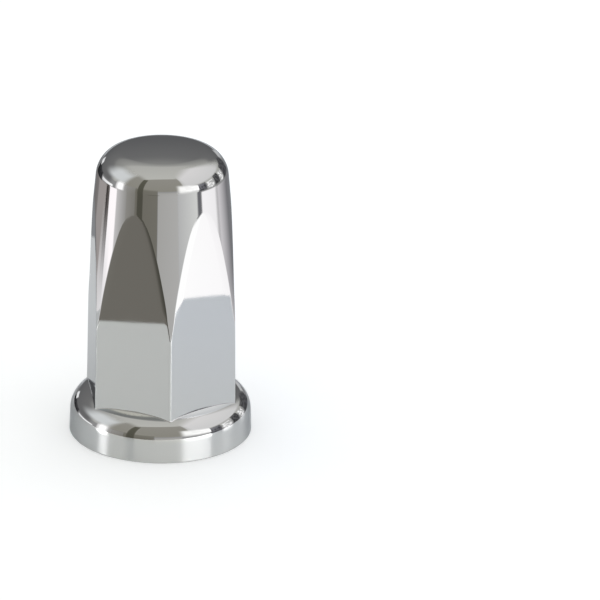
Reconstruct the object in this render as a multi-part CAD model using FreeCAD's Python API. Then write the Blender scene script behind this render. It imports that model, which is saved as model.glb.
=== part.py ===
import FreeCAD, Part
import math
import os
from FreeCAD import Vector

# Wheel nut cover cap: one hollow moulding, open at the bottom.
# Origin at the centre of the rim, +Z up along the axis, two corners of the hexagon on the Y axis.

# Outside: a round taper with a domed crown
overall_height = 95.25        # rim to the top of the crown
taper_base_radius = 29.1      # round taper carried down to the rim plane
taper_angle = 5.5             # degrees in from the vertical
crown_fillet = 8.9            # between the taper and the crown
crown_radius = 88.5           # slight dome on top

# Outside: the six flats
flat_distance = 22.55         # axis to each flat in the rim plane
flat_draft = 0.8              # degrees in from the vertical
corner_round = 0.75           # the six upright corners

# Outside: the flange
flange_radius = 29.15         # outside of the rim
skirt_height = 6.85           # upright part of the flange
skirt_draft = 2.1             # degrees in from the vertical
shoulder_radius = 7.3         # round shoulder between the skirt and the flats
rim_break = 0.35              # bevel on both edges of the rim

# Walls
body_wall = 2.2               # taper, flats and crown
flange_wall = 2.2             # skirt and shoulder

# Inside: slim upright ribs that grip the flats of the wheel nut
nut_across_flats = 33.0
rib_squeeze = 0.1             # each rib crest stands this far into the nut's flat
rib_thickness = 1.6
rib_offset = 6.0              # from the middle of a flat to each of its two ribs
rib_gap = 1.2                 # from the ceiling of the flange recess up to the ribs
rib_length = 31.0
rib_lead_in = 5.0             # sloping height at each end of a rib

# Pry notch in the rim, below the middle of one flat
notch_azimuth = 60.0          # degrees from +X
notch_width = 11.4            # at the rim
notch_top_width = 8.2
notch_height = 2.7
notch_corner = 0.8            # rounding of its two upper corners

flat_count = 6
flat_step = 360.0 / flat_count
axis_point = Vector(0, 0, 0)
axis_up = Vector(0, 0, 1)


def lean(degrees):
    """Distance lost per millimetre of height on a face that leans in by this angle."""
    return math.tan(math.radians(degrees))


def around(centre, radius, angle):
    """A point on a circle in the XZ plane; the angle is in radians from +X towards +Z."""
    return centre + Vector(radius * math.cos(angle), 0, radius * math.sin(angle))


def bevel(centre, radius, first, last):
    """Both ends of a bevel that touches the middle of an arc and meets the tangents at its ends."""
    quarter = (last - first) / 4
    reach = radius / math.cos(quarter)
    return around(centre, reach, first + quarter), around(centre, reach, last - quarter)


def revolved(*stations):
    """A solid of revolution. Each station of its half section is a point or an arc, as
    (centre, radius, first angle, last angle), and straight lines join one to the next."""
    pieces = []
    for station in stations:
        if isinstance(station, tuple):
            centre, radius, first, last = station
            ends = [around(centre, radius, first), around(centre, radius, last)]
            middle = around(centre, radius, (first + last) / 2)
            pieces.append((ends, Part.Arc(ends[0], middle, ends[1]).toShape()))
        else:
            pieces.append(([station, station], None))
    edges = []
    for index, (ends, curve) in enumerate(pieces):
        if curve is not None:
            edges.append(curve)
        following = pieces[(index + 1) % len(pieces)][0][0]
        if ends[1].distanceToPoint(following) > 1e-6:
            edges.append(Part.LineSegment(ends[1], following).toShape())
    return Part.Face(Part.Wire(edges)).revolve(axis_point, axis_up, 360)


def crown_fillet_place():
    """Centre of the crown fillet, and the angles where it meets the taper and the crown."""
    slope = math.radians(taper_angle)
    dome_height = overall_height - crown_radius
    reach = taper_base_radius * math.cos(slope) - crown_fillet - dome_height * math.sin(slope)
    climb = math.sqrt((crown_radius - crown_fillet) ** 2 - reach ** 2)
    across = reach * math.cos(slope) - climb * math.sin(slope)
    above = reach * math.sin(slope) + climb * math.cos(slope)
    return Vector(across, 0, dome_height + above), slope, math.atan2(above, across)


def round_taper():
    """The tapered round body with its domed crown."""
    centre, slope, meet = crown_fillet_place()
    return revolved(
        axis_point,
        Vector(taper_base_radius, 0, 0),
        (centre, crown_fillet, slope, meet),
        (Vector(0, 0, overall_height - crown_radius), crown_radius, meet, math.pi / 2))


def round_core():
    """The round part of the hollow: the taper moved in by the wall, with a bevelled end and a flat top."""
    centre, slope, meet = crown_fillet_place()
    shoulder, top = bevel(centre, crown_fillet - body_wall, slope, meet)
    return revolved(
        axis_point,
        Vector(taper_base_radius - body_wall / math.cos(slope), 0, 0),
        shoulder,
        top,
        Vector(0, 0, top.z))


def hexagon(distance, height):
    """Corners of a hexagon with its flats at this distance from the axis and two corners on the Y axis."""
    corner_radius = distance / math.cos(math.radians(flat_step / 2))
    corners = []
    for index in range(flat_count):
        angle = math.radians(flat_step * index - flat_step / 2)
        corners.append(Vector(corner_radius * math.cos(angle), corner_radius * math.sin(angle), height))
    return corners


def flat_face(*corners):
    return Part.Face(Part.makePolygon(list(corners) + [corners[0]]))


def drafted_prism(inset):
    """The six leaning flats as a prism with sharp corners, each flat moved in by the inset."""
    foot_distance = flat_distance - inset / math.cos(math.radians(flat_draft))
    foot = hexagon(foot_distance, 0)
    top = hexagon(foot_distance - overall_height * lean(flat_draft), overall_height)
    faces = [flat_face(*reversed(foot)), flat_face(*top)]
    for index in range(flat_count):
        after = (index + 1) % flat_count
        faces.append(flat_face(foot[index], foot[after], top[after], top[index]))
    skin = Part.Shell(faces)
    skin.sewShape()
    return Part.Solid(skin)


def rounded_prism():
    """The outer flats with their six upright corners rounded."""
    prism = drafted_prism(0)
    uprights = []
    for edge in prism.Edges:
        if edge.BoundBox.ZLength > overall_height / 2:
            uprights.append(edge)
    return prism.makeFillet(corner_round, uprights)


def shoulder_centre():
    """Centre of the shoulder arc, which is tangent to the top of the leaning skirt."""
    draft = math.radians(skirt_draft)
    skirt_top = Vector(flange_radius - skirt_height * lean(skirt_draft), 0, skirt_height)
    return around(skirt_top, -shoulder_radius, draft)


def flange_outside():
    """The skirt and its round shoulder as a solid disc."""
    crest = shoulder_centre().z + shoulder_radius
    return revolved(
        axis_point,
        Vector(flange_radius - rim_break, 0, 0),
        Vector(flange_radius - rim_break * lean(skirt_draft), 0, rim_break),
        (shoulder_centre(), shoulder_radius, math.radians(skirt_draft), math.pi / 2),
        Vector(0, 0, crest))


def recess_radius():
    """Radius of the round recess inside the skirt."""
    return shoulder_centre().x + shoulder_radius - flange_wall


def recess_ceiling():
    """Height of the top of the round recess."""
    return shoulder_centre().z + shoulder_radius - flange_wall


def flange_recess():
    """The round hollow inside the flange, with a bevelled ceiling; it clears the wheel nut's washer."""
    wall_top, ceiling = bevel(shoulder_centre(), shoulder_radius - flange_wall, 0, math.pi / 2)
    return revolved(
        axis_point,
        Vector(recess_radius() + rim_break, 0, 0),
        Vector(recess_radius(), 0, rim_break),
        wall_top,
        ceiling,
        Vector(0, 0, ceiling.z))


def grip_rib(side):
    """One upright rib on the flat that faces +X, to one side of the flat's middle."""
    crest = nut_across_flats / 2 - rib_squeeze
    wall_face = flat_distance - body_wall / math.cos(math.radians(flat_draft))
    foot = recess_ceiling() + rib_gap
    top = foot + rib_length
    foot_face = wall_face - foot * lean(flat_draft)
    top_face = wall_face - top * lean(flat_draft)
    root = body_wall / 2
    start = side * rib_offset - rib_thickness / 2
    outline = flat_face(
        Vector(foot_face + root, start, foot),
        Vector(foot_face, start, foot),
        Vector(crest, start, foot + rib_lead_in),
        Vector(crest, start, top - rib_lead_in),
        Vector(top_face, start, top),
        Vector(top_face + root, start, top))
    return outline.extrude(Vector(0, rib_thickness, 0))


def grip_ribs():
    """Two ribs on each of the six inner flats."""
    ribs = []
    for index in range(flat_count):
        for side in (-1, 1):
            rib = grip_rib(side)
            rib.rotate(axis_point, axis_up, flat_step * index)
            ribs.append(rib)
    return ribs


def pry_notch():
    """A prism that cuts the notch through the skirt's wall."""
    inner = recess_radius() - flange_wall
    outer = flange_radius + flange_wall
    outline = flat_face(
        Vector(inner, -notch_width / 2, -notch_height),
        Vector(inner, notch_width / 2, -notch_height),
        Vector(inner, notch_width / 2, 0),
        Vector(inner, notch_top_width / 2, notch_height),
        Vector(inner, -notch_top_width / 2, notch_height),
        Vector(inner, -notch_width / 2, 0))
    prism = outline.extrude(Vector(outer - inner, 0, 0))
    upper = []
    for edge in prism.Edges:
        box = edge.BoundBox
        if box.XLength > flange_wall and box.ZMin > notch_height / 2:
            upper.append(edge)
    prism = prism.makeFillet(notch_corner, upper)
    prism.rotate(axis_point, axis_up, notch_azimuth)
    return prism


def nut_cover():
    outside = round_taper().common(rounded_prism()).fuse(flange_outside())
    socket = round_core().common(drafted_prism(body_wall))
    hollow = socket.fuse(flange_recess())
    shell = outside.cut(hollow).fuse(grip_ribs())
    return shell.cut(pry_notch()).removeSplitter()


os.makedirs("parts", exist_ok=True)
cover = nut_cover()
print("solids", len(cover.Solids), "valid", cover.isValid(), "volume", round(cover.Volume, 1))
print("recess radius", round(recess_radius(), 3), "recess ceiling", round(recess_ceiling(), 3))
cover.Solids[0].exportStep("parts/nut_cover.step")
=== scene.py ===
import math

import bpy
import numpy as np
from mathutils import Matrix, Vector


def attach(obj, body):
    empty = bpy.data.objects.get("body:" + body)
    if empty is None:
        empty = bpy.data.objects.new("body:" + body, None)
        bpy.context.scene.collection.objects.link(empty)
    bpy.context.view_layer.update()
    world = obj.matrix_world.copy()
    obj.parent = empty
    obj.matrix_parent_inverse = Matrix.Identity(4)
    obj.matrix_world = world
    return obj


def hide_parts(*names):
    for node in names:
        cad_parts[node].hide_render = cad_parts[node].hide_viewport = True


# Wheel nut cover cap: one hollow moulding in chrome-plated ABS, open at the foot.
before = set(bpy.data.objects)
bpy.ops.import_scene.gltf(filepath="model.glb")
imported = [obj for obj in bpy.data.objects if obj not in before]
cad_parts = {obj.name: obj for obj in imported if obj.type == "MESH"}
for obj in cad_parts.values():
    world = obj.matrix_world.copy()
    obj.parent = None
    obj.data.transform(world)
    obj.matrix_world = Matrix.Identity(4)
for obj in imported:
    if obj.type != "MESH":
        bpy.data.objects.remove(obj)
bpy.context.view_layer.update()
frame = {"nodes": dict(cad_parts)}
print("frame:", ", ".join(frame["nodes"]))

millimetre = 0.001
up = np.array([0.0, 0.0, 1.0])
flatCount = 6
flatTurn = 2 * math.pi / flatCount      # from one flat to the next

# The cap's sizes, in millimetres and degrees
cap = {
    "height": 95.25,
    "taperRadius": 29.1,        # round taper carried down to the rim plane
    "taperAngle": 5.5,
    "crownFillet": 8.9,
    "crownRadius": 88.5,
    "flatDistance": 22.55,      # axis to each flat in the rim plane
    "flatDraft": 0.8,
    "edgeRound": 0.75,          # the upright corners
    "arrisRound": 1.2,          # small arc between each flat and the taper
    "easeRound": 28.0,          # wide arc that eases it into the flat
    "easeTurn": 5.0,            # degrees
    "easeShare": 0.85,          # the most of the whole turn that the wide arc takes
    "easeFade": 10.0,           # degrees before each corner
    "apexRound": 12.0,          # the wide arc at the top of each flat, where the edge curves tightly
    "apexFade": 8.0,            # degrees from the flat's middle
    "coveRound": 0.3,           # where the flats run down into the shoulder
    "rimRadius": 29.139,
    "skirtHeight": 6.85,
    "skirtDraft": 2.1,
    "shoulderRadius": 7.3,
    "rimRound": 0.35,
    "wall": 2.2,
    "socketRound": 0.6,         # the same edges inside
    "mouthRound": 0.2,          # edge between the recess ceiling and the socket
    "bevelRound": 2.0,          # recess wall to the bevel above it
    "ceilingRound": 0.3,        # bevel to the recess ceiling
    "ceilingStart": 0.13,       # past the bevel, where the ceiling's own rows begin
    "innerCrownRound": 2.0,     # both edges of the socket's bevelled end
    "innerCrownRun": 3.0,       # straight taper below it
    "ribCrest": 16.4,           # axis to the crest of each rib
    "ribThickness": 1.6,
    "ribOffset": 6.0,           # middle of a flat to the middle of each rib
    "ribGap": 1.2,
    "ribLength": 31.0,
    "ribLeadIn": 5.0,
}
notch = {
    "azimuth": 60.0,
    "width": 11.4,
    "topWidth": 8.2,
    "height": 2.7,
    "cornerRound": 0.8,
    "footRound": 0.3,
    "topSteps": 3,              # columns across half of its flat top
    "cornerSteps": 6,
    "footSteps": 4,
    "fadeFrom": 12.0,           # degrees from the notch's middle where its straight sides begin to fade out
    "fadeTo": 20.0,
}
grid = {
    "flatSteps": 40,            # columns across each flat
    "evenShare": 0.45,          # 1 for even columns, less for columns that crowd towards the corners
    "cornerSteps": 6,           # columns round each upright corner
    "apexColumns": (0.35, 0.8, 1.35),   # more columns either side of a flat's middle, in degrees
    "ribMargin": 0.75,          # degrees that the other columns keep from a rib's edges
    "notchMargin": 0.5,         # and from the ends of the notch
    "ribReach": 20.0,           # about the socket wall's distance, to spread the rib columns
    "ribDrift": 1.0,            # least height in which a rib's columns drift back
    "arcStep": 6.0,             # degrees between rows on a round edge
    "taperRows": 12,
    "softEdgeRows": 6,          # on each of its two arcs
    "flatRows": 8,
    "coveRows": 5,
    "shoulderRows": 16,
    "ceilingRows": 2,
    "mouthRows": 4,
    "socketRows": (1, 2, 6, 2, 6),      # below the ribs, lead-in, crest, lead-in, above them
    "innerEdgeRows": 5,
    "innerTaperRows": 5,
    "edgeRepeats": 60,          # until the soft edge settles
    "coveRepeats": 12,          # until the cove does
    "weld": 0.0005,             # points nearer than this become one
}


def ring(azimuth):
    # unit vectors in the floor plane: (cos a, sin a, 0)
    azimuth = np.asarray(azimuth, float)
    return np.stack([np.cos(azimuth), np.sin(azimuth), np.zeros_like(azimuth)], axis=-1)


def around(radius, azimuth, height):
    # points round the axis: radius x ring + height x up
    return radius[..., None] * ring(azimuth) + height[..., None] * up


def leaning(azimuth, lean):
    # unit vectors that point out at an azimuth and rise by the angle lean: cos(lean) ring + sin(lean) up
    azimuth, lean = np.broadcast_arrays(azimuth, lean)
    return np.cos(lean)[..., None] * ring(azimuth) + np.sin(lean)[..., None] * up


def turned(first, last, share):
    # part of the way from one unit vector to another, with w the angle between them:
    # (sin((1 - s) w) first + sin(s w) last) / sin w
    angle = np.arccos(np.clip(np.sum(first * last, axis=-1), -1, 1))[..., None]
    angle = np.maximum(angle, 1e-6)
    return (np.sin((1 - share) * angle) * first + np.sin(share * angle) * last) / np.sin(angle)


def steps(count):
    # rows of a band, from 0 to 1, ready to multiply whole columns of points
    return np.linspace(0, 1, count + 1)[:, None]


def smoothStep(value):
    # 3 t^2 - 2 t^3 between 0 and 1
    value = np.clip(value, 0, 1)
    return value * value * (3 - 2 * value)


def arcAngles(first, last):
    # evenly spaced angles of a round edge, both ends included
    count = max(2, math.ceil(abs(last - first) / math.radians(grid["arcStep"])))
    return np.linspace(first, last, count + 1)


def arc(centre, radius, first, last):
    # profile of an arc: centre + radius (cos a, sin a); its normal rises by a
    angle = arcAngles(first, last)
    return np.stack([centre[0] + radius * np.cos(angle), centre[1] + radius * np.sin(angle), angle], axis=1)


def roundedProfile(corners):
    # straight runs between corners (r, z, round), each corner an arc that touches both runs
    places = np.array([corner[:2] for corner in corners])
    runs = np.diff(places, axis=0)
    runs /= np.linalg.norm(runs, axis=1)[:, None]
    heading = np.unwrap(np.arctan2(runs[:, 1], runs[:, 0]))
    rows = [[*places[0], heading[0] + math.pi / 2]]
    for index in range(1, len(corners) - 1):
        before, after = heading[index - 1], heading[index]
        side = 1 if after > before else -1
        radius = corners[index][2]
        start = places[index] - radius * math.tan(abs(after - before) / 2) * runs[index - 1]
        normal = before + math.pi / 2
        centre = start + side * radius * np.array([math.cos(normal), math.sin(normal)])
        normals = arcAngles(before, after) + math.pi / 2
        spots = centre - side * radius * np.stack([np.cos(normals), np.sin(normals)], axis=1)
        rows.extend(np.column_stack([spots, normals]).tolist())
    rows.append([*places[-1], heading[-1] + math.pi / 2])
    return np.array(rows)


# Angles and places that the sizes give
taper = math.radians(cap["taperAngle"])
draft = math.radians(cap["flatDraft"])
skirtDraft = math.radians(cap["skirtDraft"])
taperSlope, draftSlope, skirtSlope = math.tan(taper), math.tan(draft), math.tan(skirtDraft)
domeHeight = cap["height"] - cap["crownRadius"]
filletReach = cap["taperRadius"] * math.cos(taper) - cap["crownFillet"] - domeHeight * math.sin(taper)
filletClimb = math.sqrt((cap["crownRadius"] - cap["crownFillet"]) ** 2 - filletReach ** 2)
filletRadius = filletReach * math.cos(taper) - filletClimb * math.sin(taper)
filletRise = filletReach * math.sin(taper) + filletClimb * math.cos(taper)
crownMeet = math.atan2(filletRise, filletRadius)
filletHeight = domeHeight + filletRise
shoulderCentre = np.array([
    cap["rimRadius"] - cap["skirtHeight"] * skirtSlope - cap["shoulderRadius"] * math.cos(skirtDraft),
    cap["skirtHeight"] - cap["shoulderRadius"] * math.sin(skirtDraft)])
recessArc = cap["shoulderRadius"] - cap["wall"]     # the shoulder moved in by the wall
recessRadius = shoulderCentre[0] + recessArc
rimMiddle = (cap["rimRadius"] + recessRadius) / 2
ceiling = shoulderCentre[1] + recessArc
ribFoot = ceiling + cap["ribGap"]
ribTop = ribFoot + cap["ribLength"]


def notchProfile():
    # half of the notch's outline as (y, height, slope): flat top, round corner, leaning side, round foot.
    # On both arcs the slope is -cos a / sin a
    lean = math.atan2((notch["width"] - notch["topWidth"]) / 2, notch["height"])
    tangent = math.tan((math.pi / 2 - lean) / 2)
    cornerRound, footRound = notch["cornerRound"], notch["footRound"]
    cornerY = notch["topWidth"] / 2 - cornerRound * tangent
    footY = notch["width"] / 2 + footRound * tangent
    top = np.linspace(0, cornerY, notch["topSteps"] + 1)[:-1]
    corner = np.linspace(math.pi / 2, lean, notch["cornerSteps"] + 1)
    foot = np.linspace(lean - math.pi, -math.pi / 2, notch["footSteps"] + 1)
    y = [top, cornerY + cornerRound * np.cos(corner), footY + footRound * np.cos(foot)]
    height = [
        np.full(top.shape, notch["height"]),
        notch["height"] - cornerRound + cornerRound * np.sin(corner),
        footRound + footRound * np.sin(foot)]
    slope = [np.zeros(top.shape), -1 / np.tan(corner), -1 / np.tan(foot)]
    return np.concatenate(y), np.concatenate(height), np.concatenate(slope)


def ribColumns():
    # Columns at both edges of a flat's two ribs, four at each: beside the rib, at the foot and the top of its
    # side, and on its crest. Each is (azimuth, share of the rib's height, side that it faces, y of the edge)
    ribs = []
    for middle in (-cap["ribOffset"], cap["ribOffset"]):
        for side in (-1, 1):
            y = middle + side * cap["ribThickness"] / 2
            pattern = [(0, 0), (0, side), (1, side), (1, 0)][::-side]
            for share, facing in pattern:
                ribs.append((math.atan2(y, grid["ribReach"]), share, facing, y))
    return ribs


def capColumns():
    # The columns of the grid, once round the cap. Each has the azimuth of its flat, its own azimuth from the
    # middle of that flat, how far it has turned round the corner, its share of a rib's height, the side of a
    # rib that it faces, the rib edge that it keeps to, and whether its flat is the one with the notch
    half = flatTurn / 2
    spread = np.linspace(-1, 1, grid["flatSteps"] + 1)
    even = grid["evenShare"]
    regular = half * (even * spread + (1 - even) * np.sin(spread * math.pi / 2))
    apex = np.radians(grid["apexColumns"])
    ribs = ribColumns()
    edges = sorted({abs(rib[0]) for rib in ribs})
    notchY, notchRise, notchSlope = notchProfile()
    notchPhi = np.arcsin(notchY / cap["rimRadius"])
    columns = []
    for index in range(flatCount):
        flat = 2 * math.pi * index / flatCount
        plain = regular
        atNotch = abs(math.degrees(flat) - notch["azimuth"]) < 1
        if atNotch:
            outer = regular[np.abs(regular) > notchPhi[-1] + math.radians(grid["notchMargin"])]
            plain = np.concatenate([outer, notchPhi, -notchPhi[1:]])
        sector = []
        for phi in np.concatenate([plain, apex, -apex]):
            if min(abs(abs(phi) - edge) for edge in edges) > math.radians(grid["ribMargin"]):
                onRib = edges[0] < abs(phi) < edges[-1]
                sector.append((phi, 1 if onRib else 0, 0, 0.0))
        for phi, share, facing, ribY in sorted(sector + ribs, key=lambda spot: spot[0]):
            columns.append((flat, phi, 0.0, share, facing, ribY, atNotch))
        for turn in np.linspace(0, 1, grid["cornerSteps"] + 1)[1:-1]:
            columns.append((flat, half, turn, 0, 0, 0.0, False))
    flat, phi, turn, share, facing, ribY, atNotch = (np.array(values, float) for values in zip(*columns))
    y = cap["rimRadius"] * np.sin(phi)
    inNotch = atNotch * (np.abs(y) <= notchY[-1])
    fade = (math.radians(notch["fadeTo"]) - np.abs(phi)) / math.radians(notch["fadeTo"] - notch["fadeFrom"])
    return {
        "flat": flat, "phi": phi, "azimuth": flat + phi,
        "share": share, "facing": facing, "ribY": ribY,
        "rise": np.interp(np.abs(y), notchY, notchRise) * inNotch,
        "slope": np.interp(np.abs(y), notchY, notchSlope) * np.sign(y) * inNotch,
        "fade": np.clip(fade, 0, 1) * atNotch,
        "out": ring(flat), "along": ring(flat + math.pi / 2),
        "normal": turned(leaning(flat, draft), leaning(flat + flatTurn, draft), turn[:, None]),
        "cone": leaning(flat + phi, taper),
    }


column = capColumns()
print("columns:", len(column["phi"]))


def bodyForm(inset, edgeRound):
    # the sharp flats and taper that lie one edge radius inside the real ones
    return {
        "distance": cap["flatDistance"] - (inset + edgeRound) / math.cos(draft),
        "radius": cap["taperRadius"] - (inset + edgeRound) / math.cos(taper),
        "round": edgeRound,
    }


def arrisHeight(form):
    # height where a flat meets the taper: (R cos p - D) / (taper slope cos p - draft slope)
    cosine = np.cos(column["phi"])
    return (form["radius"] * cosine - form["distance"]) / (taperSlope * cosine - draftSlope)


def softArris(form):
    # The edge between a flat and the taper: a small arc next to the taper, and a wide one that eases into the
    # flat. Both fade towards the corners, so that neighbouring edges don't overlap. The small arc's centre is
    # at x = D - (e + s) / cos draft - draft slope z, on the cone R - e / cos taper - taper slope z. There e
    # is the small arc's radius less the edge round, and s = (wide - small)(1 - cos turn) is the room that the
    # wide arc takes. This is repeated until z settles
    phi = column["phi"]
    fade = smoothStep((flatTurn / 2 - np.abs(phi)) / math.radians(cap["easeFade"]))
    small = form["round"] + (cap["arrisRound"] - form["round"]) * fade
    extra = small - form["round"]
    fromApex = smoothStep(np.abs(phi) / math.radians(cap["apexFade"]))
    ease = cap["apexRound"] + (cap["easeRound"] - cap["apexRound"]) * fromApex
    spare = ease - small
    x, y, height = form["distance"] + 0 * phi, form["distance"] * np.tan(phi), arrisHeight(form)
    for _ in range(grid["edgeRepeats"]):
        azimuth = column["flat"] + np.arctan2(y, x)
        coneEnd = leaning(azimuth, taper)
        whole = np.arccos(np.clip(np.sum(coneEnd * column["normal"], axis=1), -1, 1))
        turn = np.minimum(math.radians(cap["easeTurn"]), cap["easeShare"] * whole) * fade
        between = turned(column["normal"], coneEnd, (turn / whole)[:, None])
        start = ease[:, None] * column["normal"] - spare[:, None] * between
        flatHeight = height + start[:, 2] - form["round"] * column["normal"][:, 2]
        aside = spare * np.sum(between * column["along"], axis=1) * (fade > 0)
        y = (form["distance"] - draftSlope * flatHeight) * np.tan(phi) + aside
        sink = spare * (1 - np.cos(turn))
        x = form["distance"] - (extra + sink) / math.cos(draft) - draftSlope * height
        height = (form["radius"] - extra / math.cos(taper) - np.hypot(x, y)) / taperSlope
    centre = x[:, None] * column["out"] + y[:, None] * column["along"] + height[:, None] * up
    tight = turned(coneEnd, between, steps(grid["softEdgeRows"])[..., None])
    eased = turned(between, column["normal"], steps(grid["softEdgeRows"])[..., None])
    wide = np.where(fade > 0, ease, form["round"])[:, None]
    easeCentre = centre + (small[:, None] - wide) * between
    bands = [(centre + small[:, None] * tight, tight), (easeCentre + wide * eased, eased)]
    return bands, azimuth, height + small * math.sin(taper), flatHeight


def flatPoint(form, height, keepRibs=False):
    # a point of the sharp flat: x out from the axis falls with the draft, y along the flat is x tan p.
    # Rib edges keep one y up to the rib's top, and then drift back to x tan p at the arris
    height = np.broadcast_to(height, np.broadcast_shapes(np.shape(height), column["phi"].shape))
    x = form["distance"] - draftSlope * height
    y = x * np.tan(column["phi"])
    if keepRibs:
        arris = arrisHeight(form)
        hold = np.clip((arris - height) / (arris - np.minimum(ribTop, arris - grid["ribDrift"])), 0, 1)
        y = np.where(column["ribY"] != 0, y + hold * (column["ribY"] - y), y)
    return x[..., None] * column["out"] + y[..., None] * column["along"] + height[..., None] * up


def revolvedBand(profile):
    # a profile (r, z, lean) carried round the axis
    radius, height, lean = profile.T[..., None]
    return around(radius, column["azimuth"], height), leaning(column["azimuth"], lean)


def crownBands():
    # dome about the axis, then the crown fillet down to the taper
    dome = arc((0, domeHeight), cap["crownRadius"], math.pi / 2, crownMeet)
    fillet = arc((filletRadius, filletHeight), cap["crownFillet"], crownMeet, taper)
    return [revolvedBand(dome), revolvedBand(fillet)]


def shoulderMeeting(form):
    # a ball of the cove's radius c touches a flat from outside and rests on the shoulder. Its centre is on a
    # larger ring, so z = zs + sqrt((R + c)^2 - (r - rs)^2), repeated until the height settles
    offset = (form["round"] + cap["coveRound"]) * column["normal"]
    reach = cap["shoulderRadius"] + cap["coveRound"]
    height = np.full(column["phi"].shape, shoulderCentre[1] + reach)
    for _ in range(grid["coveRepeats"]):
        centre = flatPoint(form, height) + offset
        radius = np.hypot(centre[:, 0], centre[:, 1])
        height = shoulderCentre[1] + np.sqrt(reach ** 2 - (radius - shoulderCentre[0]) ** 2) - offset[:, 2]
    centre = flatPoint(form, height) + offset
    radius = np.hypot(centre[:, 0], centre[:, 1])
    azimuth = np.arctan2(centre[:, 1], centre[:, 0])
    lean = np.arctan2(centre[:, 2] - shoulderCentre[1], radius - shoulderCentre[0])
    return height, centre, leaning(azimuth, lean)


def bodyBands(form):
    # taper down to the soft edge, the soft edge, the flats with their round corners: sharp form + radius x
    # normal. Down the taper, each column drifts to its place on the soft edge by s (2 - s) of the way
    top = filletHeight + cap["crownFillet"] * math.sin(taper)
    foot, coveCentre, coveEnd = shoulderMeeting(form)
    edges, edgeAzimuth, taperFoot, flatTop = softArris(form)
    share = steps(grid["taperRows"])
    height = top + (taperFoot - top) * share
    azimuth = column["azimuth"] + (edgeAzimuth - column["azimuth"]) * share * (2 - share)
    flatHeight = flatTop + (foot - flatTop) * steps(grid["flatRows"])
    face = flatPoint(form, flatHeight) + form["round"] * column["normal"]
    coveNormal = turned(column["normal"], coveEnd, steps(grid["coveRows"])[..., None])
    return [
        (around(cap["taperRadius"] - taperSlope * height, azimuth, height), leaning(azimuth, taper)),
        *edges,
        (face, np.broadcast_to(column["normal"], face.shape)),
        (coveCentre - cap["coveRound"] * coveNormal, coveNormal)]


def shoulderBand(form):
    # ring of round section from the cove down to the skirt, while each column drifts to its place on the rim
    # by s^2 of the way
    centre, normal = shoulderMeeting(form)[1:]
    azimuth = np.arctan2(centre[:, 1], centre[:, 0])
    lean = np.arctan2(normal[:, 2], np.hypot(normal[:, 0], normal[:, 1]))
    drift = (column["azimuth"] - azimuth + math.pi) % (2 * math.pi) - math.pi
    share = steps(grid["shoulderRows"])
    azimuth = azimuth + drift * share ** 2
    lean = lean + (skirtDraft - lean) * share
    radius = shoulderCentre[0] + cap["shoulderRadius"] * np.cos(lean)
    height = shoulderCentre[1] + cap["shoulderRadius"] * np.sin(lean)
    return around(radius, azimuth, height), leaning(azimuth, lean)


def rimBand():
    # skirt, rim and recess: a rounded profile carried round the axis. At the notch the rim rows rise by the
    # notch's height, the columns keep parallel to its middle, and the normal tips by -slope x its own rise
    quarter = math.pi / 8
    reach = recessArc / math.cos(quarter)
    ceilingEdge = shoulderCentre[0] + reach * math.sin(quarter)
    profile = roundedProfile([
        (cap["rimRadius"] - cap["skirtHeight"] * skirtSlope, cap["skirtHeight"], 0),
        (cap["rimRadius"], 0, cap["rimRound"]),
        (recessRadius, 0, cap["rimRound"]),
        (recessRadius, shoulderCentre[1] + reach * math.sin(quarter), cap["bevelRound"]),
        (ceilingEdge, ceiling, cap["ceilingRound"]),
        (ceilingEdge - cap["ceilingStart"], ceiling, 0)])
    radius, height, lean = profile.T[..., None]
    atRim = (height < cap["skirtHeight"] / 2).astype(float)
    straight = np.arcsin(np.clip(cap["rimRadius"] * np.sin(column["phi"]) / radius, -1, 1))
    azimuth = column["azimuth"] + atRim * column["fade"] * (straight - column["phi"])
    rise = atRim * column["rise"]
    radius = radius - rise * skirtSlope * (radius > rimMiddle)
    normals = leaning(azimuth, lean)
    tip = -normals[..., 2] * column["slope"] * atRim
    normals = normals + tip[..., None] * column["along"]
    return around(radius, azimuth, height + rise), normals / np.linalg.norm(normals, axis=-1, keepdims=True)


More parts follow.
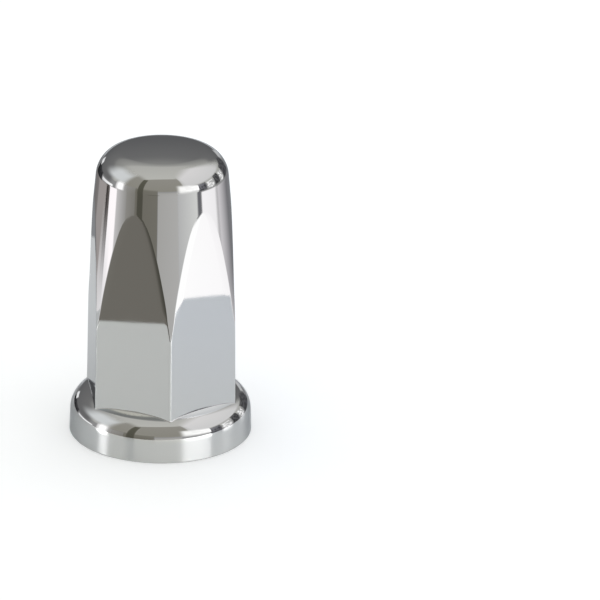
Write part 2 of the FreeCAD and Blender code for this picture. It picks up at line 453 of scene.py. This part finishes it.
def socketBands(form):
    # ceiling of the recess, round mouth, and the socket wall with its ribs up to the arris. On a rib the wall
    # moves in by the rib's height, which rises and falls along its two lead-ins
    inward = -column["normal"]
    reach = form["round"] + cap["mouthRound"]
    mouthHeight = ceiling + cap["mouthRound"] - reach * column["normal"][:, 2]
    mouthCentre = flatPoint(form, mouthHeight, keepRibs=True) + reach * column["normal"]
    down = np.broadcast_to(-up, inward.shape)
    ceilingStart = rimBand()[0][-1]
    ceilingEnd = mouthCentre + cap["mouthRound"] * down
    flatCeiling = ceilingStart + (ceilingEnd - ceilingStart) * steps(grid["ceilingRows"])[..., None]
    mouthNormal = turned(down, inward, steps(grid["mouthRows"])[..., None])
    bands = [
        (flatCeiling, np.broadcast_to(down, flatCeiling.shape)),
        (mouthCentre + cap["mouthRound"] * mouthNormal, mouthNormal)]

    arris = arrisHeight(form) + form["round"] * column["normal"][:, 2]
    heights = [ribFoot, ribFoot + cap["ribLeadIn"], ribTop - cap["ribLeadIn"], ribTop]
    wallAt = [form["distance"] + form["round"] * math.cos(draft) - draftSlope * height for height in heights]
    ribHeights = [0, wallAt[1] - cap["ribCrest"], wallAt[2] - cap["ribCrest"], 0]
    # the wall's bands meet at these levels; where the arris is low, the rib's last one is too
    levels = [ceiling + cap["mouthRound"], *heights[:3], np.minimum(ribTop, (heights[2] + arris) / 2), arris]
    levels = [np.broadcast_to(level, arris.shape) for level in levels]
    for low, high, count in zip(levels[:-1], levels[1:], grid["socketRows"]):
        height = low + (high - low) * steps(count)
        wall = flatPoint(form, height - form["round"] * column["normal"][:, 2], keepRibs=True)
        shift = np.interp(height, heights, ribHeights) * column["share"]
        points = wall + form["round"] * column["normal"] - shift[..., None] * column["out"]
        slope = -draftSlope - (shift[-1] - shift[0]) / (high - low)
        crest = (-column["out"] + slope[:, None] * up) / np.sqrt(1 + slope ** 2)[:, None]
        normal = np.where(column["share"][:, None] > 0, crest, inward)
        normal = np.where(column["facing"][:, None] != 0, column["facing"][:, None] * column["along"], normal)
        bands.append((points, np.broadcast_to(normal, points.shape)))
    return bands


def innerCrownBands(form):
    # round inner arris, inner taper, then the bevelled end of the socket in to the axis
    arris = arrisHeight(form)
    edgeNormal = turned(column["normal"], column["cone"], steps(grid["innerEdgeRows"])[..., None])
    quarter = (crownMeet - taper) / 4
    reach = (cap["crownFillet"] - cap["wall"]) / math.cos(quarter)
    shoulder, top = (
        (filletRadius + reach * math.cos(angle), filletHeight + reach * math.sin(angle))
        for angle in (taper + quarter, crownMeet - quarter))
    run = cap["innerCrownRun"]
    start = (shoulder[0] + run * taperSlope, shoulder[1] - run)
    profile = roundedProfile([
        (*start, 0),
        (*shoulder, cap["innerCrownRound"]),
        (*top, cap["innerCrownRound"]),
        (0, top[1], 0)])
    taperTop = start[1] - form["round"] * math.sin(taper)
    height = arris + (taperTop - arris) * steps(grid["innerTaperRows"])
    sharp = around(form["radius"] - taperSlope * height, column["azimuth"], height)
    return [
        (flatPoint(form, arris) + form["round"] * edgeNormal, -edgeNormal),
        (sharp + form["round"] * column["cone"], np.broadcast_to(-column["cone"], sharp.shape)),
        revolvedBand(profile)]


def meshFromBands(name, bands, inside):
    # joins the bands row by row, closes each row round the axis, welds equal points and drops flat triangles.
    # Each triangle corner keeps its own worked-out normal
    points = np.concatenate([band[0] for band in bands])
    normals = np.concatenate([band[1] for band in bands])
    plating = np.concatenate([np.full(band[0].shape[:2], value) for band, value in zip(bands, inside)])
    rows, count = points.shape[:2]
    key = np.round(points.reshape(-1, 3) / grid["weld"]).astype(np.int64)
    _, first, welded = np.unique(key, axis=0, return_index=True, return_inverse=True)
    index = np.arange(rows * count).reshape(rows, count)
    right = np.roll(index, -1, axis=1)
    a, b, c, d = index[:-1], index[1:], right[1:], right[:-1]
    corners = np.concatenate([np.stack([a, b, c], -1).reshape(-1, 3), np.stack([a, c, d], -1).reshape(-1, 3)])
    ids = welded.reshape(-1)[corners]
    keep = (ids[:, 0] != ids[:, 1]) & (ids[:, 1] != ids[:, 2]) & (ids[:, 2] != ids[:, 0])
    corners, ids = corners[keep], ids[keep]
    mesh = bpy.data.meshes.new(name)
    mesh.from_pydata(points.reshape(-1, 3)[first] * millimetre, [], ids)
    mesh.polygons.foreach_set("use_smooth", np.ones(len(ids), bool))
    layer = mesh.attributes.new("insidePlating", "FLOAT", "POINT")
    layer.data.foreach_set("value", plating.reshape(-1)[first].astype(np.float32))
    mesh.normals_split_custom_set(normals.reshape(-1, 3)[corners.reshape(-1)].astype(np.float32))
    mesh.update()
    piece = bpy.data.objects.new(name, mesh)
    bpy.context.scene.collection.objects.link(piece)
    print(name, "triangles:", len(ids), "points:", len(first))
    return piece


outerForm = bodyForm(0, cap["edgeRound"])
innerForm = bodyForm(cap["wall"], cap["socketRound"])
outsideBands = crownBands() + bodyBands(outerForm) + [shoulderBand(outerForm)]
insideBands = socketBands(innerForm) + innerCrownBands(innerForm)
rim = rimBand()
inRecess = np.hypot(rim[0][..., 0], rim[0][..., 1]) < rimMiddle
inside = [0.0] * len(outsideBands) + [inRecess.astype(float)] + [1.0] * len(insideBands)
cover = meshFromBands("nut_cover_skin", outsideBands + [rim] + insideBands, inside)


def linear(code):
    # sRGB hex to linear light: below 0.04045 divide by 12.92, above ((c + 0.055) / 1.055) ^ 2.4
    values = [int(code[index:index + 2], 16) / 255 for index in (1, 3, 5)]
    return [c / 12.92 if c <= 0.04045 else ((c + 0.055) / 1.055) ** 2.4 for c in values] + [1.0]


def addNode(tree, kind, settings=None):
    # adds a shader node. A setting is a property, or a socket by name or number (a Mix has its colours at 6
    # and 7). An output is linked to its socket, and a node stands for its first output
    node = tree.nodes.new("ShaderNode" + kind)
    for name, value in (settings or {}).items():
        if isinstance(value, bpy.types.Node):
            value = value.outputs[0]
        if isinstance(value, bpy.types.NodeSocket):
            tree.links.new(value, node.inputs[name])
        elif isinstance(name, str) and hasattr(node, name):
            setattr(node, name, value)
        else:
            node.inputs[name].default_value = value
    return node


def newMaterial(name):
    # an empty material and its tree
    material = bpy.data.materials.new(name)
    material.use_nodes = True
    material.node_tree.nodes.clear()
    return material, material.node_tree


chrome = {
    "colour": "#BABCBC",
    "edgeTint": "#CCCED0",      # steep views stay a little darker than white
    "insideColour": "#B6B4AE",  # thin plating in the socket, with the plastic showing through
    "insideMetal": 0.45,
    "roughness": (0.022, 0.04),
    "insideRoughness": (0.26, 0.4),
    "noiseRange": (0.35, 0.65),     # where most of the haze's values lie
    "hazeSize": 9.0,            # mm between patches of slightly different polish
    "hazeDetail": 3.0,
    "waveSize": 7.0,            # mm between the moulding's faint waves
    "waveDetail": 1.0,
    "waveHeight": 0.0035,       # mm
    "grainSize": 0.5,           # mm, matt grain inside
    "grainDetail": 2.0,
    "grainHeight": 0.006,       # mm
}


def chromePlatedAbs():
    # bright decorative chrome over moulded ABS, polished outside. Mirror images waver a little with the
    # moulding's waves, and their sharpness changes slowly with the polish; inside, the thin plating is grey,
    # grainy and dull
    material, tree = newMaterial("chrome_plated_abs_moulded")
    place = addNode(tree, "TexCoord").outputs["Object"]
    within = addNode(tree, "Attribute", {"attribute_name": "insidePlating"}).outputs["Fac"]
    haze, wave, grain = (
        addNode(tree, "TexNoise", {
            "Scale": 1 / (chrome[name + "Size"] * millimetre), "Detail": chrome[name + "Detail"],
            "Vector": place})
        for name in ("haze", "wave", "grain"))
    low, high = chrome["noiseRange"]
    roughness, insideRoughness = (
        addNode(tree, "MapRange", {
            "From Min": low, "From Max": high, "To Min": least, "To Max": most, "Value": haze})
        for least, most in (chrome["roughness"], chrome["insideRoughness"]))
    dullness = addNode(tree, "Mix", {
        "data_type": "FLOAT", "Factor": within, "A": roughness, "B": insideRoughness})
    colour = addNode(tree, "Mix", {
        "data_type": "RGBA", "Factor": within,
        6: linear(chrome["colour"]), 7: linear(chrome["insideColour"])})
    waves = addNode(tree, "Bump", {"Distance": chrome["waveHeight"] * millimetre, "Height": wave})
    grains = addNode(tree, "Bump", {
        "Distance": chrome["grainHeight"] * millimetre, "Strength": within, "Height": grain, "Normal": waves})
    metal = addNode(tree, "MapRange", {
        "To Min": 1.0, "To Max": chrome["insideMetal"], "Value": within})
    shader = addNode(tree, "BsdfPrincipled", {
        "Base Color": colour.outputs[2], "Metallic": metal, "Roughness": dullness,
        "Specular Tint": linear(chrome["edgeTint"]), "Normal": grains})
    addNode(tree, "OutputMaterial", {"Surface": shader})
    return material


cover.data.materials.append(chromePlatedAbs())
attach(cover, "root")
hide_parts("nut_cover")

# Camera at the photograph's viewing angle
camera = {
    "lens": 240.0,
    "sensor": 36.0,
    "yaw": 8.986,               # degrees round the cap, from the -Y side
    "pitch": 21.966,            # degrees above the floor
    "roll": -1.238,
    "aim": (-44.746, -40.452),  # mm, where the cap's origin lies across and below the view's axis
    "distance": 1282.172,       # mm
    "sight": 50.0,              # metres that it sees
}


def addCamera():
    # the view's three axes are the world's, turned by the yaw, tilted by the pitch and tipped by the roll
    yaw, pitch, roll = (math.radians(camera[name]) for name in ("yaw", "pitch", "roll"))
    tip = Matrix.Rotation(roll, 3, "Z")
    tilt = Matrix((
        (1, 0, 0),
        (0, math.sin(pitch), math.cos(pitch)),
        (0, math.cos(pitch), -math.sin(pitch))))
    view = tip @ tilt @ Matrix.Rotation(yaw, 3, "Z")
    offset = Vector((*camera["aim"], camera["distance"])) * millimetre
    data = bpy.data.cameras.new("camera")
    data.lens = camera["lens"]
    data.sensor_width = camera["sensor"]
    data.clip_end = camera["sight"]
    eye = bpy.data.objects.new("camera", data)
    bpy.context.scene.collection.objects.link(eye)
    facing = Matrix((view[0], view[1], -view[2])).transposed()
    eye.matrix_world = Matrix.Translation(-(view.transposed() @ offset)) @ facing.to_4x4()
    bpy.context.scene.camera = eye
    print("camera:", camera["distance"], "mm away")


addCamera()

# Studio. Everything here is stage: the floor, and cards that only mirror surfaces see
floorTone = {
    "colour": "#EDEFEF",
    "paintedCoolLight": "#EFF4FC",      # painted cool light, slightly cooler towards +X
    "coolFrom": 0.0,            # metres along X
    "coolTo": 0.12,
    "size": 12.0,
    "gap": 0.00003,             # below the rim, so that the two never share a plane
    "background": 0.2,          # added for camera rays, so that the open floor is white
    "mirrored": (0.04, 0.26),   # painted light: glow added for mirror rays, in front of the cap and behind it
    "mirroredFrom": 0.02,       # metres along Y
    "mirroredTo": 0.11,
    "plate": (                  # azimuth and distance of each edge that the cap mirrors
        (-137.5, 0.1364), (-37.4, 0.1533), (42.5, 0.094), (132.5, 0.1538)),
    "plateEdge": 0.0012,
    "gloss": 0.3,               # roughness of the plate's sheen
    "glossIndex": 1.45,
    "open": 0.0265,             # radius of the opening under the cap
    "openToMirrors": 0.0292,
}


def addFloor():
    half = floorTone["size"] / 2
    low = -floorTone["gap"]
    corners = [(-half, -half, low), (half, -half, low), (half, half, low), (-half, half, low)]
    mesh = bpy.data.meshes.new("floor")
    mesh.from_pydata(corners, [], [(0, 1, 2, 3)])
    floor = bpy.data.objects.new("floor", mesh)
    bpy.context.scene.collection.objects.link(floor)
    material, tree = newMaterial("floor_paper")
    place = addNode(tree, "TexCoord").outputs["Object"]
    ray = addNode(tree, "LightPath").outputs
    mirrorRay = ray["Is Glossy Ray"]
    axes = addNode(tree, "SeparateXYZ", {"Vector": place}).outputs
    # painted cool light: the paper's colour turns slightly bluer towards +X
    coolLightShare = addNode(tree, "MapRange", {
        "From Min": floorTone["coolFrom"], "From Max": floorTone["coolTo"], "Value": axes["X"]})
    colour = addNode(tree, "Mix", {
        "data_type": "RGBA", "Factor": coolLightShare,
        6: linear(floorTone["colour"]), 7: linear(floorTone["paintedCoolLight"])})
    paper = addNode(tree, "BsdfDiffuse", {"Color": colour.outputs[2]})
    direct = addNode(tree, "Math", {
        "operation": "MULTIPLY", 0: ray["Is Camera Ray"], 1: floorTone["background"]})
    # painted light: for mirror rays the floor glows, a little in front of the cap and more behind it
    behind = addNode(tree, "MapRange", {
        "From Min": floorTone["mirroredFrom"], "From Max": floorTone["mirroredTo"],
        "To Min": floorTone["mirrored"][0], "To Max": floorTone["mirrored"][1], "Value": axes["Y"]})
    mirrored = addNode(tree, "Math", {"operation": "MULTIPLY", 0: mirrorRay, 1: behind})
    strength = addNode(tree, "Math", {"operation": "ADD", 0: direct, 1: mirrored})
    glow = addNode(tree, "Emission", {"Color": (1, 1, 1, 1), "Strength": strength})
    lit = addNode(tree, "AddShader", {0: paper, 1: glow})
    # mirror rays also see a soft sheen on the plate
    fresnel = addNode(tree, "Fresnel", {"IOR": floorTone["glossIndex"]})
    share = addNode(tree, "Math", {"operation": "MULTIPLY", 0: fresnel, 1: mirrorRay})
    sheen = addNode(tree, "BsdfGlossy", {"Roughness": floorTone["gloss"], "Color": (1, 1, 1, 1)})
    polished = addNode(tree, "MixShader", {"Fac": share, 1: lit, 2: sheen})
    # mirror rays see the floor only on a square plate, and the room below it further out
    furthest = -floorTone["size"]
    for azimuth, distance in floorTone["plate"]:
        toEdge = addNode(tree, "VectorMath", {
            "operation": "DOT_PRODUCT", 0: place, 1: ring(math.radians(azimuth))}).outputs["Value"]
        past = addNode(tree, "Math", {"operation": "SUBTRACT", 0: toEdge, 1: distance})
        furthest = addNode(tree, "Math", {"operation": "MAXIMUM", 0: past, 1: furthest})
    beyond = addNode(tree, "MapRange", {
        "From Min": -floorTone["plateEdge"], "From Max": floorTone["plateEdge"], "Value": furthest})
    away = addNode(tree, "Math", {"operation": "MULTIPLY", 0: beyond, 1: mirrorRay})
    # the floor is clear from below, and open under the cap, so that light reaches the socket when seen from
    # there; for mirror rays it is open under the rim too, which would be black from there
    below = addNode(tree, "NewGeometry").outputs["Backfacing"]
    fromAxis = addNode(tree, "VectorMath", {"operation": "LENGTH", 0: place}).outputs["Value"]
    under, underRim = (
        addNode(tree, "Math", {"operation": "LESS_THAN", 0: fromAxis, 1: floorTone[name]})
        for name in ("open", "openToMirrors"))
    underRim = addNode(tree, "Math", {"operation": "MULTIPLY", 0: underRim, 1: mirrorRay})
    for opening in (under, underRim, below):
        away = addNode(tree, "Math", {"operation": "MAXIMUM", 0: away, 1: opening})
    clear = addNode(tree, "BsdfTransparent")
    both = addNode(tree, "MixShader", {"Fac": away, 1: polished, 2: clear})
    addNode(tree, "OutputMaterial", {"Surface": both})
    mesh.materials.append(material)
    print("floor:", floorTone["size"], "m")


# Lights and dark surfaces of the studio, seen by mirror rays only, as one card each. Those with azimuth and
# elevation (degrees, from +X and from the floor) are parts of a far sphere; those with corners (millimetres:
# left foot, right foot, right top, left top) are flat and near. Tones are what each looks like in the chrome,
# at the left and right of its foot and of its top; soft is the share of its width and height over which its
# left, right, foot and top fade out; gain makes a lamp brighter than white; lift is how much brighter it is
# after a second reflection, as in the floor's sheen; clutter is the depth of its dark blotches. A later card
# hangs in front of an earlier one.
cards = {
    "upper room": {
        "azimuth": (-180, 180), "elevation": (10, 90),
        "tone": ("#A2A29E", "#A2A29E", "#B0B0AB", "#B0B0AB")},
    "lower room": {"azimuth": (-180, 180), "elevation": (-60, 12), "tone": ("#8A8A8A",) * 4},
    "high back": {
        "azimuth": (25, 172), "elevation": (22, 68), "soft": (0.3, 0.3, 0.25, 0.25),
        "tone": ("#686868", "#686868", "#A8A8A4", "#A8A8A4")},
    "low back": {
        "azimuth": (40, 172), "elevation": (-2, 38), "soft": (0.12, 0.12, 0.2, 0.2),
        "tone": ("#626263", "#626263", "#6E6E6E", "#6E6E6E")},
    "high right": {
        "azimuth": (-66, 50), "elevation": (16, 84), "soft": (0.14, 0.2, 0.12, 0.12),
        "tone": ("#C8C8C8", "#C8C8C8", "#D8D6D6", "#D8D6D6"), "lift": 2.2},
    "high left": {
        "azimuth": (128, 210), "elevation": (12, 60), "soft": (0.4, 0.38, 0.3, 0.4),
        "tone": ("#CACDCE",) * 4},
    "front room": {
        "azimuth": (-172, -58), "elevation": (10, 80), "soft": (0.12, 0.02, 0.0, 0.0),
        "tone": ("#87857D", "#87857D", "#8E8C86", "#8E8C86"), "lift": 3.5},
    "front far left": {
        "azimuth": (-184, -158), "elevation": (-45, 20), "soft": (0.1, 0.0, 0.0, 0.15),
        "tone": ("#C9C7C8", "#8C8B88") * 2},
    "front left": {
        "azimuth": (-160, -140), "elevation": (-45, 20), "soft": (0.1, 0.1, 0.0, 0.15),
        "tone": ("#807E78", "#67645E", "#918F8C", "#82817C")},
    "front middle": {
        "azimuth": (-144, -104), "elevation": (-45, 18), "soft": (0.05, 0.02, 0.0, 0.15),
        "tone": ("#67645E", "#67655E", "#6C6A61", "#74726A")},
    "low left": {
        "azimuth": (-158, -130), "elevation": (-45, -13.5), "soft": (0.15, 0.1, 0.0, 0.08),
        "tone": ("#6E6C66", "#65625C") * 2},
    "front right": {
        "azimuth": (-104, -70), "elevation": (-45, 12), "soft": (0.02, 0.01, 0.0, 0.2),
        "tone": ("#A9A9A9", "#B6B6B6", "#9D9C98", "#A2A19E")},
    "sill": {
        "azimuth": (-124, -99), "elevation": (-7, -3), "soft": (0.3, 0.3, 0.3, 0.5),
        "tone": ("#55534B", "#5F5E57", "#66645C", "#6A6962")},
    "post": {
        "azimuth": (-140.3, -128.6), "elevation": (-16, 53), "soft": (0.18, 0.14, 0.04, 0.06),
        "tone": ("#4A4941", "#4A4941", "#57564C", "#57564C")},
    "low dark": {
        "azimuth": (-138.5, -98), "elevation": (-22, -12), "soft": (0.14, 0.1, 0.1, 0.1),
        "tone": ("#46453E",) * 4},
    "below softbox": {
        "azimuth": (-72, -31), "elevation": (-45, 2), "soft": (0.06, 0.02, 0.0, 0.1),
        "tone": ("#ACAEAF", "#D2D3D1", "#B0B0B0", "#D0D1CF")},
    "dark patch": {
        "azimuth": (-34, -14), "elevation": (-8, 21), "soft": (0.12, 0.12, 0.2, 0.2),
        "tone": ("#606064", "#505054", "#8A8A90", "#606064"), "clutter": 0.6},
    "white side": {
        "azimuth": (-28.5, 12), "elevation": (-45, -7), "soft": (0.08, 0.25, 0.0, 0.1),
        "tone": ("#FFFFFF", "#FFFFFF", "#E6E4E6", "#DCDADC"), "gain": 1.1},
    "dark line": {
        "azimuth": (-37.5, -26.5), "elevation": (-15, -5), "soft": (0.35, 0.35, 0.2, 0.1),
        "tone": ("#66666A",) * 4},
    "low softbox": {
        "azimuth": (-76, -22), "elevation": (-32, -14.5), "soft": (0.15, 0.05, 0.1, 0.12),
        "tone": ("#FFFFFF",) * 4},
    "small softbox": {
        "azimuth": (-15, 5), "elevation": (-7, 18), "soft": (0.2, 0.2, 0.15, 0.2),
        "tone": ("#F0F0F0",) * 4, "lift": 3.0, "clutter": 0.5},
    "dark gap": {
        "azimuth": (5, 20), "elevation": (-7, 22), "soft": (0.12, 0.12, 0.15, 0.15),
        "tone": ("#58585A", "#505052", "#606062", "#505052"), "clutter": 0.6},
    "thin lamp": {
        "azimuth": (20, 34), "elevation": (-8, 17), "soft": (0.25, 0.25, 0.15, 0.2),
        "tone": ("#FFFFFF",) * 4, "lift": 1.5, "clutter": 0.6},
    "right grey": {
        "azimuth": (5, 43), "elevation": (-45, -8), "soft": (0.25, 0.05, 0.0, 0.1),
        "tone": ("#DAD7DA", "#7C7B7E") * 2},
    "right edge": {
        "azimuth": (42, 66), "elevation": (-45, -8), "soft": (0.05, 0.2, 0.0, 0.1),
        "tone": ("#7E7D80", "#8A8A8C") * 2},
    "dark side": {
        "azimuth": (34, 59), "elevation": (-10, 19), "soft": (0.1, 0.1, 0.12, 0.12),
        "tone": ("#4E4E52", "#5C5C60", "#545456", "#626264"), "clutter": 0.4},
    "small light": {
        "azimuth": (59, 71), "elevation": (-1, 10), "soft": (0.2,) * 4,
        "tone": ("#C4C4C4",) * 4},
    "low behind": {
        "azimuth": (64, 108), "elevation": (-45, -5), "soft": (0.12, 0.12, 0.0, 0.08),
        "tone": ("#8C9093", "#7A7B7C") * 2},
    "back light": {
        "azimuth": (64, 103), "elevation": (-6, 1), "soft": (0.12, 0.12, 0.3, 0.2),
        "tone": ("#A8ACAE", "#A8ACAE", "#E8EAEC", "#DCDEE0")},
    "left dark": {
        "azimuth": (102, 152), "elevation": (-45, -7), "soft": (0.12, 0.12, 0.0, 0.1),
        "tone": ("#7C7876", "#8A8482") * 2},
    "left stripes": {
        "azimuth": (124, 163), "elevation": (-45, -7), "soft": (0.15, 0.05, 0.0, 0.1),
        "tone": ("#A39D9B", "#958F8D") * 2},
    "left line": {
        "azimuth": (153, 164), "elevation": (-16, -7), "soft": (0.3, 0.2, 0.2, 0.1),
        "tone": ("#6E6866",) * 4, "clutter": 0.8},
    "left black": {
        "azimuth": (109, 139), "elevation": (-11.5, 6), "soft": (0.1, 0.1, 0.15, 0.16),
        "tone": ("#242426", "#303032", "#2C2C2E", "#48484A"), "clutter": 0.5},
    "left glint": {
        "azimuth": (107, 118), "elevation": (1, 10), "soft": (0.2,) * 4,
        "tone": ("#F4F4F4",) * 4},
    "left stripe": {
        "azimuth": (138, 172), "elevation": (-7, 0.5), "soft": (0.1, 0.1, 0.2, 0.2),
        "tone": ("#D8D8DA", "#FFFFFF") * 2},
    "left side": {
        "azimuth": (163, 182), "elevation": (-45, -7), "soft": (0.08, 0.15, 0.0, 0.05),
        "tone": ("#FFFAFC",) * 4},
    "left low": {
        "corners": ((-260, 150, -140), (-300, 20, -140), (-300, 20, 14), (-260, 150, 14)),
        "soft": (0.15, 0.15, 0.0, 0.3), "tone": ("#CCCACB", "#E8E6E8") * 2},
    "right low": {
        "corners": ((290, 60, -160), (130, 270, -160), (130, 270, -22), (290, 60, -22)),
        "soft": (0.15, 0.15, 0.0, 0.3), "tone": ("#E4E4E6", "#D0D0D2") * 2},
    "left softbox": {
        "azimuth": (-183, -163), "elevation": (-8, 26), "soft": (0.4, 0.4, 0.2, 0.5),
        "tone": ("#FFFFFF",) * 4, "gain": 1.2, "lift": 9.0},
    "softbox": {
        "corners": ((140, -490, 30), (806, -490, 10), (806, -490, 420), (140, -490, 420)),
        "soft": (0.14, 0.04, 0.3, 0.3), "tone": ("#F4F4F2", "#FFFFFF", "#E8E8E6", "#FFFFFF"),
        "gain": 1.1, "lift": 4.4, "clutter": 0.08},
    "overhead": {
        "corners": ((-660, -500, 954), (440, -540, 954), (520, 660, 954), (-660, 660, 954)),
        "soft": (0.25, 0.25, 0.02, 0.2), "tone": ("#B4B4AF", "#B4B4AF", "#A8A8A4", "#A8A8A4")},
}
cardSettings = {
    "steps": 60,                # columns and rows of each card
    "farthest": 4.0,            # metres, where the first card hangs
    "spacing": 0.05,            # from each card to the next
    "centreHeight": 0.05,       # of their sphere above the floor
    "blotchCells": 9,           # across a cluttered card
    "blotchFrom": 0.4,          # the level of the patches where the dark begins
    "blotchEdge": 0.25,
}


def blended(corners, u, v):
    # bilinear: left foot, right foot, right top and left top blended by u and v
    first, second, third, fourth = (np.array(corner, float) for corner in corners)
    u, v = u[..., None], v[..., None]
    return (1 - v) * ((1 - u) * first + u * second) + v * ((1 - u) * fourth + u * third)


def blotches(count, u, v, seed):
    # smooth random patches from 0 to 1: a coarse grid of random numbers, blended across each cell by the
    # smooth step
    values = np.random.default_rng(seed).random((count + 1, count + 1))
    row, across = (np.clip(share * count, 0, count - 1e-6) for share in (v, u))
    i, j = row.astype(int), across.astype(int)
    s, t = smoothStep(row - i), smoothStep(across - j)
    low = values[i, j] * (1 - t) + values[i, j + 1] * t
    high = values[i + 1, j] * (1 - t) + values[i + 1, j + 1] * t
    return low * (1 - s) + high * s


def cardMaterial():
    # light panel, with tone, cover and lift from the mesh. It is clear where the cover is 0, and the lift
    # counts from the second reflection on
    material, tree = newMaterial("light_panel")
    material.cycles.emission_sampling = "NONE"
    tone, shown, lift = (
        addNode(tree, "Attribute", {"attribute_name": name}).outputs for name in ("tone", "cover", "lift"))
    depth = addNode(tree, "LightPath").outputs["Glossy Depth"]
    strength = addNode(tree, "MapRange", {
        "From Min": 1.0, "From Max": 2.0, "To Min": 1.0, "To Max": lift["Fac"], "Value": depth})
    light = addNode(tree, "Emission", {"Color": tone["Color"], "Strength": strength})
    clear = addNode(tree, "BsdfTransparent")
    both = addNode(tree, "MixShader", {"Fac": shown["Fac"], 1: clear, 2: light})
    addNode(tree, "OutputMaterial", {"Surface": both})
    return material


def addCard(name, card, distance, material):
    # a grid of points: distance x leaning(azimuth, elevation) on the sphere, or blended between the corners
    evenly = np.linspace(0, 1, cardSettings["steps"] + 1)
    u, v = np.meshgrid(evenly, evenly)
    if "corners" in card:
        points = blended(card["corners"], u, v) * millimetre
    else:
        azimuth, elevation = (np.radians(low + (high - low) * share) for (low, high), share in (
            (card["azimuth"], u), (card["elevation"], v)))
        points = distance * leaning(azimuth, elevation) + cardSettings["centreHeight"] * up
    leftFoot, rightFoot, leftTop, rightTop = (linear(code) for code in card["tone"])
    tone = blended((leftFoot, rightFoot, rightTop, leftTop), u, v)
    tone[..., :3] *= card.get("gain", 1.0) / np.array(linear(chrome["colour"])[:3])
    if "clutter" in card:
        # dark where the smooth patches are high, with soft outlines
        patches = blotches(cardSettings["blotchCells"], u, v, len(name))
        dark = smoothStep((patches - cardSettings["blotchFrom"]) / cardSettings["blotchEdge"])
        tone[..., :3] *= (1 - card["clutter"] * dark)[..., None]
    shown = np.ones_like(u)
    for depth, fromEdge in zip(card.get("soft", (0,) * 4), (u, 1 - u, v, 1 - v)):
        if depth > 0:
            shown *= smoothStep(fromEdge / depth)
    index = np.arange(u.size).reshape(u.shape)
    faces = np.stack([index[:-1, :-1], index[:-1, 1:], index[1:, 1:], index[1:, :-1]], -1).reshape(-1, 4)
    mesh = bpy.data.meshes.new(name)
    mesh.from_pydata(points.reshape(-1, 3), [], faces)
    lift = np.full(u.shape, card.get("lift", 1.0))
    for layer, kind, field, values in (
            ("tone", "FLOAT_COLOR", "color", tone),
            ("cover", "FLOAT", "value", shown),
            ("lift", "FLOAT", "value", lift)):
        data = mesh.attributes.new(layer, kind, "POINT").data
        data.foreach_set(field, values.astype(np.float32).ravel())
    mesh.materials.append(material)
    piece = bpy.data.objects.new(name, mesh)
    bpy.context.scene.collection.objects.link(piece)
    for ray in ("camera", "diffuse", "transmission", "volume_scatter", "shadow"):
        setattr(piece, "visible_" + ray, False)


addFloor()
panel = cardMaterial()
for order, (name, card) in enumerate(cards.items()):
    addCard("card " + name, card, cardSettings["farthest"] - cardSettings["spacing"] * order, panel)
print("cards:", len(cards))

room = {
    "soft": "#FFFFFF",          # light on matt surfaces
    "mirrored": "#F4F4F0",      # what mirror rays see past the cards
}


def addWorld():
    # plain soft light for matt surfaces, and a light grey room for mirror rays
    world = bpy.data.worlds.new("studio")
    bpy.context.scene.world = world
    world.use_nodes = True
    tree = world.node_tree
    tree.nodes.clear()
    ray = addNode(tree, "LightPath")
    soft, mirrored = (
        addNode(tree, "Background", {"Color": linear(room[name])}) for name in ("soft", "mirrored"))
    both = addNode(tree, "MixShader", {"Fac": ray.outputs["Is Glossy Ray"], 1: soft, 2: mirrored})
    addNode(tree, "OutputWorld", {"Surface": both})
    print("world:", room["mirrored"])


addWorld()

bpy.context.scene.view_settings.view_transform = "Standard"
